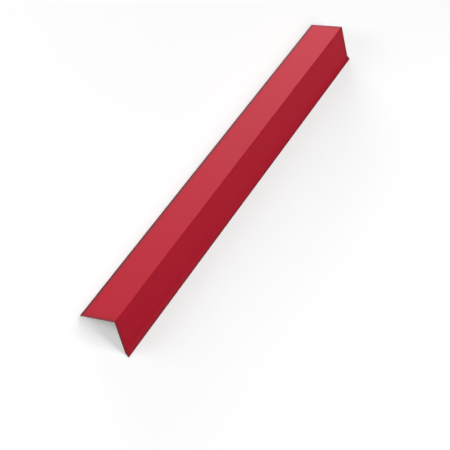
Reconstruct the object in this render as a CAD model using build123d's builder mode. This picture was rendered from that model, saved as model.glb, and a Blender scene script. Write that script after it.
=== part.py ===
import os
from math import acos, atan2, cos, degrees, hypot, radians, sin, tan

from build123d import *

# Verge flashing, folded from one strip of prepainted steel sheet. All sizes are in millimetres.
# It lies as it would on a floor, corner up, on the folds of its two hemmed edges.
# X runs across it, Y along it and Z up. The origin is on the floor under its middle.

# Driving sizes
length = 2000
sheet = 0.5  # thickness of the coated sheet
top_width = 150  # roof flange, from the corner to its hemmed edge
front_width = 150  # gable flange, from the corner to the lip
corner_angle = 90  # between the two flanges
corner_radius = 2.5  # inside radius of the corner
lip_width = 20  # drip lip, from the gable flange to its hemmed edge
lip_angle = 30  # how far the lip kicks out from the gable flange
lip_radius = 2.5  # inside radius of the bend between gable flange and lip
hem_radius = 0.75  # inside radius of a hem's fold
hem_leg = 10  # flat part of a hem, folded back behind the edge
hem_gap = 0.15  # left open behind the end of a hem

# Bends, measured on the painted face: it is outside at the corner and the hems, inside at the lip
corner_turn = 180 - corner_angle
corner_outside = corner_radius + sheet
corner_setback = corner_outside * tan(radians(corner_turn / 2))
lip_setback = lip_radius * tan(radians(lip_angle / 2))
hem_outside = hem_radius + sheet

# A hem is crushed to a teardrop: the fold turns past 180 degrees until the end of its leg is
# hem_gap from the flange. With m the fold's middle radius, the over-turn solves
# m * (1 + cos(over)) - hem_leg * sin(over) = sheet + hem_gap.
hem_middle = hem_radius + sheet / 2
hem_reach = hypot(hem_middle, hem_leg)
hem_over = acos((sheet + hem_gap - hem_middle) / hem_reach) - atan2(hem_leg, hem_middle)
hem_turn = 180 + degrees(hem_over)


def fold_line(depth):
    """Draws the folded sheet's line at a depth below its painted face, from hem to hem.

    The roof flange is level and the painted corner's sharp point is at (0, 0).
    Returns the two ends of the line and the centres of the two hem folds."""
    top_flat = Line((hem_outside - top_width, -depth), (-corner_setback, -depth))
    corner = JernArc(top_flat @ 1, top_flat % 1, corner_outside - depth, -corner_turn)
    front_flat = PolarLine(
        corner @ 1, front_width - corner_setback - lip_setback, direction=corner % 1
    )
    lip_bend = JernArc(front_flat @ 1, front_flat % 1, lip_radius + depth, lip_angle)
    lip_flat = PolarLine(
        lip_bend @ 1, lip_width - lip_setback - hem_outside, direction=lip_bend % 1
    )
    lip_hem = JernArc(lip_flat @ 1, lip_flat % 1, hem_outside - depth, -hem_turn)
    lip_leg = PolarLine(lip_hem @ 1, hem_leg, direction=lip_hem % 1)
    top_hem = JernArc(top_flat @ 0, -(top_flat % 0), hem_outside - depth, hem_turn)
    top_leg = PolarLine(top_hem @ 1, hem_leg, direction=top_hem % 1)
    return top_leg @ 1, lip_leg @ 1, top_hem.center_point, lip_hem.center_point


# Section: painted face, back face and the two slit edges of the strip
with BuildSketch() as section:
    with BuildLine():
        painted_top, painted_lip, top_centre, lip_centre = fold_line(0)
        back_top, back_lip, _, _ = fold_line(sheet)
        Line(painted_top, back_top)
        Line(painted_lip, back_lip)
    make_face()

# Seat: both hem folds have the same radius, so the floor runs along the line through their
# centres, hem_outside below it.
across = lip_centre - top_centre
tilt = atan2(-across.Y, across.X)
seat = Plane(origin=(0, 0, 0), x_dir=(cos(tilt), 0, sin(tilt)), z_dir=(0, -1, 0))
seat_middle = seat.from_local_coords((top_centre + lip_centre) / 2)
seat.origin = Vector(0, 0, hem_outside) - seat_middle

with BuildPart() as verge_flashing:
    with BuildSketch(seat):
        add(section.sketch)
    extrude(amount=length / 2, both=True)

verge_flashing.part.label = "verge_flashing"
os.makedirs("parts", exist_ok=True)
export_step(verge_flashing.part, "parts/verge_flashing.step")
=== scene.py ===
from math import acos, atan2, degrees, hypot, pi, radians, sin, tan

import bmesh
import bpy
from mathutils import Matrix, Quaternion, Vector


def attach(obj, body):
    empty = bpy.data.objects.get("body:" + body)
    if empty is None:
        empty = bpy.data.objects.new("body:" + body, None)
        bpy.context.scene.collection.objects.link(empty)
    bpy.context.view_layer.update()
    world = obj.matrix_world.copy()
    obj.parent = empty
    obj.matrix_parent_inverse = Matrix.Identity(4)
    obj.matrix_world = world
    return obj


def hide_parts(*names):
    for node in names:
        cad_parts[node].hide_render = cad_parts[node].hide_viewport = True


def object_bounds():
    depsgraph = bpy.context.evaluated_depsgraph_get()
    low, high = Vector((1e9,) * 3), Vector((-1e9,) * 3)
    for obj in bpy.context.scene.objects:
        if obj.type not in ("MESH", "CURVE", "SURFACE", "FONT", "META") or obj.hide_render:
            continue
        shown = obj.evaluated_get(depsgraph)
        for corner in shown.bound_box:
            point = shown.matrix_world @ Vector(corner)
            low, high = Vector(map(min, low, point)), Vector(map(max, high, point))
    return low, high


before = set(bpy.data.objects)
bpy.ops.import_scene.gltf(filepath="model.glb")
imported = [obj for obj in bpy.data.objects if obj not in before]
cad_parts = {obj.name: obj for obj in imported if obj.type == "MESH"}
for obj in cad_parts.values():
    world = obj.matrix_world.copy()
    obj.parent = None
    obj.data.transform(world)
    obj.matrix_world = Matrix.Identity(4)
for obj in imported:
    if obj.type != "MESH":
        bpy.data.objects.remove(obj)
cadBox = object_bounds()
scene = bpy.context.scene

# Everything is in metres. X runs across the flashing, Y along it and Z up from the floor.


# Shader helpers

def addNode(tree, kind, place, inputs=None, **settings):
    # place is where the node stands in the editor
    node = tree.nodes.new(kind)
    node.location = place
    for name, value in settings.items():
        setattr(node, name, value)
    for name, value in (inputs or {}).items():
        node.inputs[name].default_value = value
    return node


def join(tree, source, target):
    tree.links.new(source, target)


def feed(tree, value, socket):
    # value is a plain value or another node's output
    if isinstance(value, bpy.types.NodeSocket):
        join(tree, value, socket)
    else:
        socket.default_value = value


def addMath(tree, operation, place, *values, clamp=False):
    node = addNode(tree, "ShaderNodeMath", place, operation=operation, use_clamp=clamp)
    for socket, value in zip(node.inputs, values):
        feed(tree, value, socket)
    return node.outputs[0]


def addMix(tree, place, amount, *colours):
    # mixes two colours; the node has them as its sockets 6 and 7, and the result as its output 2
    node = addNode(tree, "ShaderNodeMix", place, data_type="RGBA")
    feed(tree, amount, node.inputs[0])
    for socket, colour in zip(node.inputs[6:8], colours):
        feed(tree, (*colour, 1) if isinstance(colour, tuple) else colour, socket)
    return node.outputs[2]


def addRange(tree, place, value, fromMin, fromMax, toMin=0.0, toMax=1.0, shape="LINEAR"):
    # fits a value from one range to another
    node = addNode(tree, "ShaderNodeMapRange", place, interpolation_type=shape)
    ends = {"From Min": fromMin, "From Max": fromMax, "To Min": toMin, "To Max": toMax}
    feed(tree, value, node.inputs["Value"])
    for name, end in ends.items():
        feed(tree, end, node.inputs[name])
    return node.outputs["Result"]


def addNoise(tree, place, vector, scale, detail, roughness=0.5):
    node = addNode(tree, "ShaderNodeTexNoise", place, {"Detail": detail, "Roughness": roughness})
    join(tree, vector, node.inputs["Vector"])
    feed(tree, scale, node.inputs["Scale"])
    return node.outputs["Fac"]


def newGroup(name, inputs, outputs):
    # inputs are names with their defaults, or None for a vector, and outputs are names of masks
    group = bpy.data.node_groups.new(name, "ShaderNodeTree")
    for label, default in inputs.items():
        kind = "NodeSocketVector" if default is None else "NodeSocketFloat"
        socket = group.interface.new_socket(label, in_out="INPUT", socket_type=kind)
        if default is not None:
            socket.default_value = default
    for label in outputs:
        group.interface.new_socket(label, in_out="OUTPUT", socket_type="NodeSocketFloat")
    entry = addNode(group, "NodeGroupInput", (-900, 0))
    result = addNode(group, "NodeGroupOutput", (900, 0))
    return group, entry.outputs, result.inputs


def useGroup(tree, group, place, values):
    node = addNode(tree, "ShaderNodeGroup", place, node_tree=group)
    for name, value in values.items():
        feed(tree, value, node.inputs[name])
    return node.outputs


# Shared effects

def makeLineMask():
    # 1 along a line across the strip, such as a bend, a hem or a cut edge, and less beside it
    group, given, result = newGroup(
        "lineMask",
        {"Position": 0.0, "Line": 0.0, "Reach": 0.002, "Softness": 0.001, "Noise": 0.5, "Ragged": 0.0},
        ["Mask", "Fade"],
    )
    # the noise moves the line's two sides in and out, by up to half of Ragged
    offset = addMath(group, "SUBTRACT", (-700, 100), given["Position"], given["Line"])
    straight = addMath(group, "ABSOLUTE", (-550, 100), offset)
    sway = addMath(group, "SUBTRACT", (-700, 300), given["Noise"], 0.5)
    wander = addMath(group, "MULTIPLY", (-550, 300), sway, given["Ragged"])
    gap = addMath(group, "ADD", (-400, 150), straight, wander)

    # Mask ends cleanly, one Softness past the reach
    outer = addMath(group, "ADD", (-400, -100), given["Reach"], given["Softness"])
    mask = addRange(group, (-200, 50), gap, given["Reach"], outer, 1.0, 0.0, "SMOOTHSTEP")
    join(group, mask, result["Mask"])

    # Fade thins out slowly, to about a third for each Softness past the reach
    beyond = addMath(group, "SUBTRACT", (-200, -250), gap, given["Reach"])
    distance = addMath(group, "MAXIMUM", (0, -250), beyond, 0.0)
    steps = addMath(group, "DIVIDE", (200, -250), distance, given["Softness"])
    downward = addMath(group, "MULTIPLY", (400, -250), steps, -1.0)
    fade = addMath(group, "EXPONENT", (600, -250), downward)
    join(group, fade, result["Fade"])
    return group


def makeRolledGrain():
    # what coil coating leaves: a fine even grain, long faint streaks from the roller, and slow clouds
    group, given, result = newGroup(
        "rolledGrain",
        {"Vector": None, "Grain Size": 0.0011, "Streak Width": 0.004, "Streak Length": 0.25},
        ["Grain", "Streaks", "Clouds"],
    )
    grainScale = addMath(group, "DIVIDE", (-650, 250), 1.0, given["Grain Size"])
    grain = addNoise(group, (-200, 300), given["Vector"], grainScale, detail=2.0, roughness=0.55)
    join(group, grain, result["Grain"])

    parts = addNode(group, "ShaderNodeSeparateXYZ", (-650, 0))
    join(group, given["Vector"], parts.inputs[0])
    acrossStep = addMath(group, "DIVIDE", (-450, 60), parts.outputs["X"], given["Streak Width"])
    alongStep = addMath(group, "DIVIDE", (-450, -100), parts.outputs["Y"], given["Streak Length"])
    stretched = addNode(group, "ShaderNodeCombineXYZ", (-250, 0))
    join(group, acrossStep, stretched.inputs["X"])
    join(group, alongStep, stretched.inputs["Y"])
    streaks = addNoise(group, (-50, 0), stretched.outputs[0], scale=1.0, detail=3.0, roughness=0.6)
    join(group, streaks, result["Streaks"])

    clouds = addNoise(group, (-200, -300), given["Vector"], scale=6.0, detail=2.0)
    join(group, clouds, result["Clouds"])
    return group


siteMarks = {
    "scuffSlant": 7,  # degrees off the length of the strip
    "scuffScale": (420, 9, 1),  # noise cells to a metre, across and along, so that scuffs are long
    "scuffCut": (0.71, 0.75),  # where in that noise a scuff starts, and where it is full
    "patchScale": 11.0,
    "patchCut": (0.56, 0.66),  # the same for the patches that have scuffs
    "speckScale": 160.0,  # cells to a metre, each with one speck of dust at most
    "speckCut": (0.45, 1.0),  # the lots that cells draw: none at the first, the largest at the second
    "speckSize": 0.13,  # the largest speck, as a share of a cell
}


def makeHandling(look):
    # marks of handling on site: sparse hairline scuffs that run mostly lengthwise, and settled dust
    group, given, result = newGroup(
        "handling", {"Vector": None, "Scuffs": 0.5, "Dust": 0.5}, ["Scuff Mask", "Dust Mask"]
    )
    slant = addNode(
        group, "ShaderNodeMapping", (-650, 250),
        {"Rotation": (0, 0, radians(look["scuffSlant"])), "Scale": look["scuffScale"]},
    )
    join(group, given["Vector"], slant.inputs["Vector"])
    lines = addNoise(group, (-450, 250), slant.outputs[0], scale=1.0, detail=1.0, roughness=0.4)
    patches = addNoise(group, (-450, 0), given["Vector"], look["patchScale"], detail=3.0, roughness=0.6)
    thin = addRange(group, (-250, 250), lines, *look["scuffCut"])
    where = addRange(group, (-250, 0), patches, *look["patchCut"])
    scuffs = addMath(group, "MULTIPLY", (-50, 150), thin, where)
    scuffMask = addMath(group, "MULTIPLY", (150, 150), scuffs, given["Scuffs"], clamp=True)
    join(group, scuffMask, result["Scuff Mask"])

    specks = addNode(group, "ShaderNodeTexVoronoi", (-450, -300), {"Scale": look["speckScale"]})
    join(group, given["Vector"], specks.inputs["Vector"])
    lot = addNode(group, "ShaderNodeSeparateColor", (-450, -550))
    join(group, specks.outputs["Color"], lot.inputs[0])
    radius = addRange(group, (-250, -550), lot.outputs[0], *look["speckCut"], 0.0, look["speckSize"])
    small = addRange(group, (-250, -300), specks.outputs["Distance"], 0.0, radius, 1.0, 0.0)
    dust = addMath(group, "MULTIPLY", (-50, -200), small, patches)
    dustMask = addMath(group, "MULTIPLY", (150, -200), dust, given["Dust"], clamp=True)
    join(group, dustMask, result["Dust Mask"])
    return group


lineMask = makeLineMask()
rolledGrain = makeRolledGrain()
handling = makeHandling(siteMarks)
print("effects made")


# The folded sheet

flashing = {
    "sheet": 0.0005,
    "topWidth": 0.150,  # roof flange
    "frontWidth": 0.150,  # gable flange
    "cornerAngle": 90,
    "cornerRadius": 0.0025,  # inside
    "lipWidth": 0.020,
    "lipAngle": 30,
    "lipRadius": 0.0025,  # inside
    "hemRadius": 0.00075,  # inside
    "hemLeg": 0.010,
    "hemGap": 0.00015,
    "shoulder": 0.0015,  # first and last stretch of a flat, beside its bends
    "flangeStretches": 12,
    "lipStretches": 5,
    "legStretches": 4,
    "cornerSteps": 12,
    "lipSteps": 6,
    "hemSteps": 14,
    "lengthwise": 80,  # stretches along the length
    "ripple": 0.00018,  # how far the flats wander from true
    "waves": [(3.1, 0.4, 0.55), (5.3, 2.1, 0.3), (8.9, 4.4, 0.15)],  # to a metre, phase, share
    "waveShift": 0.21,  # how far the gable flange's waves lie from the roof flange's
    "waveSkew": 2,  # phase that a wave gains from one side of a flange to the other
}


def drawFlat(sheet, tip, heading, length, stretches):
    # carries the section's last vertex on in a straight line
    shoulder = flashing["shoulder"]
    inner = (length - 2 * shoulder) / (stretches - 2)
    for step in [shoulder, *[inner] * (stretches - 2), shoulder]:
        tip = bmesh.ops.extrude_vert_indiv(sheet, verts=[tip])["verts"][0]
        bmesh.ops.translate(sheet, verts=[tip], vec=heading * step)
    return tip


def drawBend(sheet, tip, heading, angle, radius, steps):
    # carries it on round a bend; a positive angle turns it towards the back of the sheet
    turn = radians(abs(angle))
    side = 1 if angle > 0 else -1
    inward = Vector((heading.z, 0, -heading.x)) * side
    centre = tip.co + inward * radius
    bent = bmesh.ops.spin(
        sheet, geom=[tip], cent=centre, axis=(0, side, 0), angle=turn, steps=steps
    )
    tip = [part for part in bent["geom_last"] if isinstance(part, bmesh.types.BMVert)][0]
    heading = Matrix.Rotation(side * turn, 3, "Y") @ heading
    return tip, heading, centre


def closedHemTurn(size):
    # a hem turns past 180 degrees, until the end of its leg is hemGap from the flange
    middle = size["hemRadius"] + size["sheet"] / 2
    reach = hypot(middle, size["hemLeg"])
    overTurn = acos((size["sheet"] + size["hemGap"] - middle) / reach) - atan2(size["hemLeg"], middle)
    return 180 + degrees(overTurn)


def markAcross(across, first):
    # each vertex keeps its place on the flat strip, so that patterns follow the sheet round its bends
    vertex = first
    edge = first.link_edges[0]
    travelled = 0.0
    while edge:
        vertex = edge.other_vert(vertex)
        travelled += edge.calc_length()
        vertex[across] = travelled
        following = [other for other in vertex.link_edges if other != edge]
        edge = following[0] if following else None
    return travelled


def standOnHems(sheet, roofHemCentre, lipHemCentre, hemOutside):
    # both hem folds rest on the floor, in the middle of the CAD box
    low, high = cadBox
    between = lipHemCentre - roofHemCentre
    middle = (roofHemCentre + lipHemCentre) / 2
    upright = Matrix.Rotation(atan2(between.z, between.x), 3, "Y")
    bmesh.ops.rotate(sheet, verts=sheet.verts[:], cent=middle, matrix=upright)
    seat = Vector(((low.x + high.x) / 2, low.y, low.z + hemOutside))
    bmesh.ops.translate(sheet, verts=sheet.verts[:], vec=seat - middle)


def foldFlashing(size):
    cornerTurn = 180 - size["cornerAngle"]
    cornerOutside = size["cornerRadius"] + size["sheet"]
    cornerSetback = cornerOutside * tan(radians(cornerTurn / 2))
    lipSetback = size["lipRadius"] * tan(radians(size["lipAngle"] / 2))
    hemOutside = size["hemRadius"] + size["sheet"]
    hemTurn = closedHemTurn(size)
    topFlat = size["topWidth"] - hemOutside - cornerSetback
    frontFlat = size["frontWidth"] - cornerSetback - lipSetback
    lipFlat = size["lipWidth"] - lipSetback - hemOutside

    # the painted face of the section, from the end of the roof hem to the end of the lip hem
    sheet = bmesh.new()
    across = sheet.verts.layers.float.new("across")
    first = tip = sheet.verts.new((0, 0, 0))
    heading = Vector((-1, 0, 0))
    tip = drawFlat(sheet, tip, heading, size["hemLeg"], size["legStretches"])
    tip, heading, roofHemCentre = drawBend(sheet, tip, heading, hemTurn, hemOutside, size["hemSteps"])
    tip = drawFlat(sheet, tip, heading, topFlat, size["flangeStretches"])
    tip, heading, _ = drawBend(sheet, tip, heading, cornerTurn, cornerOutside, size["cornerSteps"])
    tip = drawFlat(sheet, tip, heading, frontFlat, size["flangeStretches"])
    tip, heading, _ = drawBend(
        sheet, tip, heading, -size["lipAngle"], size["lipRadius"], size["lipSteps"]
    )
    tip = drawFlat(sheet, tip, heading, lipFlat, size["lipStretches"])
    tip, heading, lipHemCentre = drawBend(sheet, tip, heading, hemTurn, hemOutside, size["hemSteps"])
    drawFlat(sheet, tip, heading, size["hemLeg"], size["legStretches"])

    # how far across the strip the middles of its bends are
    width = markAcross(across, first)
    hemArc = radians(hemTurn) * hemOutside
    cornerArc = radians(cornerTurn) * cornerOutside
    lipArc = radians(size["lipAngle"]) * size["lipRadius"]
    marks = {
        "width": width,
        "roofHem": size["hemLeg"] + hemArc / 2,
        "corner": size["hemLeg"] + hemArc + topFlat + cornerArc / 2,
        "lip": width - size["hemLeg"] - hemArc - lipFlat - lipArc / 2,
        "lipHem": width - size["hemLeg"] - hemArc / 2,
    }

    standOnHems(sheet, roofHemCentre, lipHemCentre, hemOutside)
    stretch = (cadBox[1].y - cadBox[0].y) / size["lengthwise"]
    bmesh.ops.spin(
        sheet, geom=sheet.edges[:], cent=(0, 0, 0), axis=(0, 1, 0), angle=0,
        dvec=(0, stretch, 0), steps=size["lengthwise"],
    )
    sheet.normal_update()
    return sheet, across, marks


def rippleFlats(sheet, across, marks, size):
    # rolled sheet is never quite flat: long low waves in the two flanges, none at the bends and hems
    spans = [(marks["roofHem"], marks["corner"]), (marks["corner"], marks["lip"])]
    for vertex in sheet.verts:
        for number, (start, end) in enumerate(spans):
            share = (vertex[across] - start) / (end - start)
            if 0 < share < 1:
                crown = sin(pi * share) ** 2
                place = vertex.co.y + size["waveShift"] * number
                sway = sum(
                    part * sin(2 * pi * toMetre * place + phase + size["waveSkew"] * share)
                    for toMetre, phase, part in size["waves"]
                )
                vertex.co += vertex.normal * size["ripple"] * crown * sway


sheet, across, marks = foldFlashing(flashing)
rippleFlats(sheet, across, marks, flashing)
for face in sheet.faces:
    face.smooth = True
for edge in sheet.edges:
    edge.smooth = not edge.is_boundary  # the strip's cut edges stay crisp
sheetMesh = bpy.data.meshes.new("foldedFlashing")
sheet.to_mesh(sheetMesh)
sheet.free()
foldedFlashing = bpy.data.objects.new("foldedFlashing", sheetMesh)
scene.collection.objects.link(foldedFlashing)
print("sheet folded,", len(sheetMesh.polygons), "faces,", round(marks["width"] * 1000, 1), "mm strip")


# Coats

def newMaterial(name):
    material = bpy.data.materials.new(name)
    material.use_nodes = True
    tree = material.node_tree
    tree.nodes.clear()
    shader = addNode(tree, "ShaderNodeBsdfPrincipled", (600, 0))
    output = addNode(tree, "ShaderNodeOutputMaterial", (900, 0))
    join(tree, shader.outputs[0], output.inputs["Surface"])
    return material, tree, shader.inputs


def stripPlace(tree):
    # a point's place on the flat strip: across it, along it, and both as one vector
    attribute = addNode(tree, "ShaderNodeAttribute", (-1500, 200), attribute_name="across")
    coordinates = addNode(tree, "ShaderNodeTexCoord", (-1500, -50))
    parts = addNode(tree, "ShaderNodeSeparateXYZ", (-1300, -50))
    join(tree, coordinates.outputs["Object"], parts.inputs[0])
    place = addNode(tree, "ShaderNodeCombineXYZ", (-1100, 100))
    join(tree, attribute.outputs["Fac"], place.inputs["X"])
    join(tree, parts.outputs["Y"], place.inputs["Y"])
    return attribute.outputs["Fac"], parts.outputs["Y"], place.outputs[0]


def addMarks(tree, place, colour, look):
    # lays the scuffs and the dust over a colour
    masks = useGroup(
        tree, handling, (-800, -100),
        {"Vector": place, "Scuffs": look["scuffAmount"], "Dust": look["dustAmount"]},
    )
    scuffed = addMix(tree, (250, 350), masks["Scuff Mask"], colour, look["scuff"])
    dusty = addMix(tree, (400, 350), masks["Dust Mask"], scuffed, look["dust"])
    return dusty, masks["Dust Mask"]


def varyRoughness(tree, pattern, look):
    # roughness that wanders about its middle value
    low = look["roughness"] - look["roughnessSpread"] / 2
    return addMath(tree, "MULTIPLY_ADD", (-250, 0), pattern, look["roughnessSpread"], low)


def addBump(tree, height, look):
    bump = addNode(
        tree, "ShaderNodeBump", (250, -250),
        {"Strength": look["bumpStrength"], "Distance": look["bumpDepth"]},
    )
    join(tree, height, bump.inputs["Height"])
    return bump.outputs["Normal"]


redCoat = {
    "colour": (0.387, 0.0046, 0.0200),
    "clouded": (0.358, 0.0036, 0.0174),
    "cloudShare": 0.35,
    "strainedAndLit": (0.50, 0.02, 0.04),  # paint drawn thin over a bend with a painted highlight on it, and the painted light on the drip lip
    "edge": (0.050, 0.011, 0.015),  # painted shade: a dark line along the folded and cut edges
    "scuff": (0.56, 0.16, 0.18),
    "scuffAmount": 0.35,
    "dust": (0.55, 0.50, 0.46),
    "dustAmount": 0.25,
    "roughness": 0.5,
    "roughnessSpread": 0.07,
    "dustRoughness": 0.2,  # what dust adds
    "streakHeight": 0.4,  # beside the grain's height of 1
    "bumpStrength": 0.35,
    "bumpDepth": 0.00004,
    "specular": 0.045,
}

# how far each band reaches from the middle of its fold, or from its cut edge
bendBands = {
    "corner": {"reach": 0.0016, "softness": 0.0016},
    "lip": {"reach": 0.0006, "softness": 0.0012},
    "share": 0.25,
}
lipLightBand = {"reach": 0.0085, "softness": 0.003, "share": 0.32}  # painted light: the whole drip lip is a little lighter
# painted shade along the hems and the cut ends, as a dark outline
edgeShadeBands = {
    "roofHem": {"reach": 0.0060, "softness": 0.0038, "ragged": 0.004, "share": 1.0},
    "lipHem": {"reach": 0.0024, "softness": 0.0034, "ragged": 0.004, "share": 0.85},
    "ends": {"reach": 0.0022, "softness": 0.0075, "ragged": 0.004, "share": 0.74},
}
# patches in the painted shade along the edges
edgeShadePatches = {
    "size": 0.03,
    "cut": (0.65, 0.4),  # where in the noise a patch is faintest, and where it is full
    "faintest": 0.85,
}


def placeBand(tree, place, position, line, band, noise=None):
    values = {"Position": position, "Line": line, "Reach": band["reach"], "Softness": band["softness"]}
    if noise:
        values.update({"Noise": noise, "Ragged": band["ragged"]})
    return useGroup(tree, lineMask, place, values)


def bendMask(tree, acrossPlace):
    # where the paint is stretched thin, with a painted highlight, over the corner and the lip's bend
    corner = placeBand(tree, (-800, 600), acrossPlace, marks["corner"], bendBands["corner"])
    lip = placeBand(tree, (-800, 800), acrossPlace, marks["lip"], bendBands["lip"])
    bends = addMath(tree, "MAXIMUM", (-500, 700), corner["Mask"], lip["Mask"])
    return addMath(tree, "MULTIPLY", (-350, 700), bends, bendBands["share"])


def lipLightMask(tree, acrossPlace):
    # painted light over the drip lip, from its bend to its hem
    lipMiddle = marks["lip"] + flashing["lipWidth"] / 2
    lip = placeBand(tree, (-800, 1600), acrossPlace, lipMiddle, lipLightBand)
    return addMath(tree, "MULTIPLY", (-500, 1600), lip["Mask"], lipLightBand["share"])


def edgeShadeMask(tree, acrossPlace, alongPlace, place):
    # ragged, patchy painted shade along both hems and both cut ends
    noise = addNoise(tree, (-1300, 1100), place, 1 / edgeShadePatches["size"], detail=4.0, roughness=0.55)
    patches = addRange(tree, (-1100, 1100), noise, *edgeShadePatches["cut"], edgeShadePatches["faintest"], 1.0)
    fromMiddle = addMath(tree, "ABSOLUTE", (-1100, 1400), alongPlace)
    lines = {
        "roofHem": (acrossPlace, marks["roofHem"]),
        "lipHem": (acrossPlace, marks["lipHem"]),
        "ends": (fromMiddle, (cadBox[1].y - cadBox[0].y) / 2),
    }
    edges = 0.0
    for number, (part, (position, line)) in enumerate(lines.items()):
        row = 1000 + 200 * number
        band = edgeShadeBands[part]
        fade = placeBand(tree, (-800, row), position, line, band, noise)["Fade"]
        patchy = addMath(tree, "MULTIPLY", (-600, row), fade, patches)
        paintedShade = addMath(tree, "MULTIPLY", (-400, row), patchy, band["share"])
        edges = addMath(tree, "MAXIMUM", (-200, row), edges, paintedShade)
    return edges


def makeRedCoat(look):
    # the painted face, satin polyester baked on before the sheet is folded
    material, tree, shader = newMaterial("redPolyesterCoat")
    acrossPlace, alongPlace, place = stripPlace(tree)
    grain = useGroup(tree, rolledGrain, (-800, 300), {"Vector": place})
    cloudAmount = addMath(tree, "MULTIPLY", (-500, 350), grain["Clouds"], look["cloudShare"])
    colour = addMix(tree, (-250, 350), cloudAmount, look["colour"], look["clouded"])
    # stretched paint with a painted highlight over the bends
    colour = addMix(tree, (-125, 350), bendMask(tree, acrossPlace), colour, look["strainedAndLit"])
    # painted light over the drip lip
    colour = addMix(tree, (0, 350), lipLightMask(tree, acrossPlace), colour, look["strainedAndLit"])
    # painted shade along the hems and the cut ends
    edges = edgeShadeMask(tree, acrossPlace, alongPlace, place)
    colour = addMix(tree, (125, 350), edges, colour, look["edge"])
    colour, dustMask = addMarks(tree, place, colour, look)
    join(tree, colour, shader["Base Color"])

    rough = varyRoughness(tree, grain["Streaks"], look)
    rough = addMath(tree, "MULTIPLY_ADD", (0, 0), dustMask, look["dustRoughness"], rough)
    join(tree, rough, shader["Roughness"])
    shader["Specular IOR Level"].default_value = look["specular"]

    height = addMath(
        tree, "MULTIPLY_ADD", (-250, -250), grain["Streaks"], look["streakHeight"], grain["Grain"]
    )
    join(tree, addBump(tree, height, look), shader["Normal"])
    return material


backCoat = {
    "colour": (0.46, 0.46, 0.44),
    "streaked": (0.36, 0.365, 0.355),
    "streakCut": (0.35, 0.7),
    "grainSize": 0.0008,
    "streakWidth": 0.0025,
    "scuff": (0.60, 0.60, 0.59),
    "scuffAmount": 0.6,
    "dust": (0.42, 0.38, 0.33),
    "dustAmount": 0.4,
    "roughness": 0.55,
    "roughnessSpread": 0.12,
    "bumpStrength": 0.4,
    "bumpDepth": 0.00003,
    "specular": 0.35,
}


def makeBackCoat(look):
    # the thin service coat on the back of the strip
    material, tree, shader = newMaterial("greyBackCoat")
    _, _, place = stripPlace(tree)
    grain = useGroup(
        tree, rolledGrain, (-800, 300),
        {"Vector": place, "Grain Size": look["grainSize"], "Streak Width": look["streakWidth"]},
    )
    streaks = addRange(tree, (-500, 400), grain["Streaks"], *look["streakCut"])
    colour = addMix(tree, (-250, 350), streaks, look["colour"], look["streaked"])
    colour, _ = addMarks(tree, place, colour, look)
    join(tree, colour, shader["Base Color"])
    join(tree, varyRoughness(tree, grain["Clouds"], look), shader["Roughness"])
    shader["Specular IOR Level"].default_value = look["specular"]
    join(tree, addBump(tree, grain["Grain"], look), shader["Normal"])
    return material


cutEdge = {
    "zinc": (0.52, 0.53, 0.54),
    "sheared": (0.24, 0.22, 0.21),
    "toneCut": (0.4, 0.6),
    "grainSize": 0.0004,
    "roughness": 0.42,
    "roughnessSpread": 0.2,
    "metallic": 0.85,
}


def makeCutEdge(look):
    # the strip's slit and sheared edges, bare steel between its two zinc layers
    material, tree, shader = newMaterial("shearedSteelEdge")
    _, _, place = stripPlace(tree)
    grain = useGroup(
        tree, rolledGrain, (-800, 300), {"Vector": place, "Grain Size": look["grainSize"]}
    )
    tone = addRange(tree, (-500, 300), grain["Grain"], *look["toneCut"])
    colour = addMix(tree, (-250, 300), tone, look["sheared"], look["zinc"])
    join(tree, colour, shader["Base Color"])
    join(tree, varyRoughness(tree, grain["Grain"], look), shader["Roughness"])
    shader["Metallic"].default_value = look["metallic"]
    return material


for coat in (makeRedCoat(redCoat), makeBackCoat(backCoat), makeCutEdge(cutEdge)):
    sheetMesh.materials.append(coat)

gauge = foldedFlashing.modifiers.new("gauge", "SOLIDIFY")
gauge.thickness = flashing["sheet"]
gauge.offset = -1  # the painted face stays where it is
gauge.use_even_offset = True
gauge.material_offset = 1
gauge.material_offset_rim = 2
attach(foldedFlashing, "root")
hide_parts("verge_flashing")
print("coats on")


# Studio

def seenDirectly(tree, place):
    # 1 where the camera or a reflection sees a surface, 0 where its light would fall on others
    x, y = place
    seen = addNode(tree, "ShaderNodeLightPath", place).outputs
    direct = addMath(tree, "MAXIMUM", (x + 250, y), seen["Is Camera Ray"], seen["Is Glossy Ray"])
    return addMath(tree, "MAXIMUM", (x + 450, y), direct, seen["Is Transmission Ray"])


floorLook = {
    "halfWidth": 60.0,
    "colour": (0.835, 0.835, 0.835),
    "mottled": (0.825, 0.825, 0.825),
    "mottleScale": 3.0,
    "roughness": 0.9,
    "specular": 0.0,
    "glow": (1.0, 1.0, 1.0),
    "lift": 0.22,  # added where the floor is seen directly, so that it reads as white
    "farLift": 1.0,  # the same, out where the lamps no longer reach
    "farStart": 1.8,
    "farEnd": 7.0,
}


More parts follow.
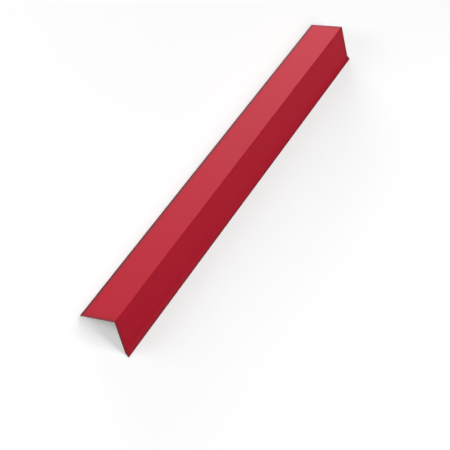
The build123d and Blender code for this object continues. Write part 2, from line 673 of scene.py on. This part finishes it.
def makeFloor(look):
    floorMesh = bpy.data.meshes.new("studioFloor")
    shape = bmesh.new()
    bmesh.ops.create_grid(shape, x_segments=1, y_segments=1, size=look["halfWidth"])
    shape.to_mesh(floorMesh)
    shape.free()
    floor = bpy.data.objects.new("studioFloor", floorMesh)
    scene.collection.objects.link(floor)

    material, tree, shader = newMaterial("paleFloor")
    coordinates = addNode(tree, "ShaderNodeTexCoord", (-700, 0)).outputs["Object"]
    mottle = addNoise(tree, (-500, 0), coordinates, look["mottleScale"], detail=3.0)
    colour = addMix(tree, (-250, 0), mottle, look["colour"], look["mottled"])
    join(tree, colour, shader["Base Color"])
    shader["Roughness"].default_value = look["roughness"]
    shader["Specular IOR Level"].default_value = look["specular"]

    outward = addNode(tree, "ShaderNodeVectorMath", (-450, -150), operation="LENGTH")
    join(tree, coordinates, outward.inputs[0])
    lift = addRange(
        tree, (-250, -150), outward.outputs["Value"], look["farStart"], look["farEnd"],
        look["lift"], look["farLift"], "SMOOTHSTEP",
    )
    liftSeen = addMath(tree, "MULTIPLY", (0, -300), lift, seenDirectly(tree, (-700, -400)))
    shader["Emission Color"].default_value = (*look["glow"], 1)
    join(tree, liftSeen, shader["Emission Strength"])
    floorMesh.materials.append(material)


def facing(place, aim):
    # the turn that points a lamp or the camera from its place to what it is aimed at
    return (Vector(aim) - Vector(place)).to_track_quat("-Z", "Y")


lamps = {
    "front": {"place": (-0.5, -4.4, 4.6), "aim": (0, 0, 0), "size": (3.2, 3.2), "power": 69},
    "rightFront": {"place": (3.5, -0.6, 4.0), "aim": (0, 0, 0), "size": (2.4, 2.4), "power": 118},
    "rightRear": {"place": (3.0, 2.2, 4.0), "aim": (0, 0.3, 0), "size": (2.4, 2.4), "power": 101},
    "leftFront": {"place": (-3.2, -3.2, 1.65), "aim": (0, -0.5, 0.05), "size": (2.0, 1.2), "power": 106},
    "leftStrip": {"place": (-3.4, 2.8, 0.45), "aim": (0, 0.2, 0.06), "size": (4.6, 0.8), "power": 229},
}


def makeLamp(name, lamp):
    light = bpy.data.lights.new(name, "AREA")
    light.shape = "RECTANGLE"
    light.size, light.size_y = lamp["size"]
    light.energy = lamp["power"]
    holder = bpy.data.objects.new(name, light)
    holder.location = lamp["place"]
    holder.rotation_euler = facing(lamp["place"], lamp["aim"]).to_euler()
    holder.visible_camera = False
    scene.collection.objects.link(holder)


sky = {
    "colour": (1.0, 1.0, 1.0),
    "strength": 0.045,  # the light that it gives
    "backdrop": 1.0,  # how bright it looks
}


def makeSky(look):
    world = bpy.data.worlds.new("studioWorld")
    world.use_nodes = True
    tree = world.node_tree
    background = tree.nodes["Background"].inputs
    background["Color"].default_value = (*look["colour"], 1)
    seen = seenDirectly(tree, (-900, 0))
    extra = look["backdrop"] - look["strength"]
    strength = addMath(tree, "MULTIPLY_ADD", (-200, 0), seen, extra, look["strength"])
    join(tree, strength, background["Strength"])
    scene.world = world


viewpoint = {
    "place": (-0.41388, -3.78129, 4.13408),
    "aim": (0.10954, -0.22958, 0.0),
    "roll": 47.587,  # degrees, lifting the right side of the picture
    "lens": 111.28,  # mm
    "sensor": 36,  # mm across
    "sight": 100,  # how far it sees
}


def makeCamera(view):
    camera = bpy.data.cameras.new("viewpoint")
    camera.lens = view["lens"]
    camera.sensor_width = view["sensor"]
    camera.clip_end = view["sight"]
    holder = bpy.data.objects.new("viewpoint", camera)
    holder.location = view["place"]
    holder.rotation_mode = "QUATERNION"
    roll = Quaternion((0, 0, 1), radians(view["roll"]))
    holder.rotation_quaternion = facing(view["place"], view["aim"]) @ roll
    scene.collection.objects.link(holder)
    scene.camera = holder


makeFloor(floorLook)
for name, lamp in lamps.items():
    makeLamp(name, lamp)
makeSky(sky)
makeCamera(viewpoint)
scene.view_settings.view_transform = "Standard"
print("studio set")
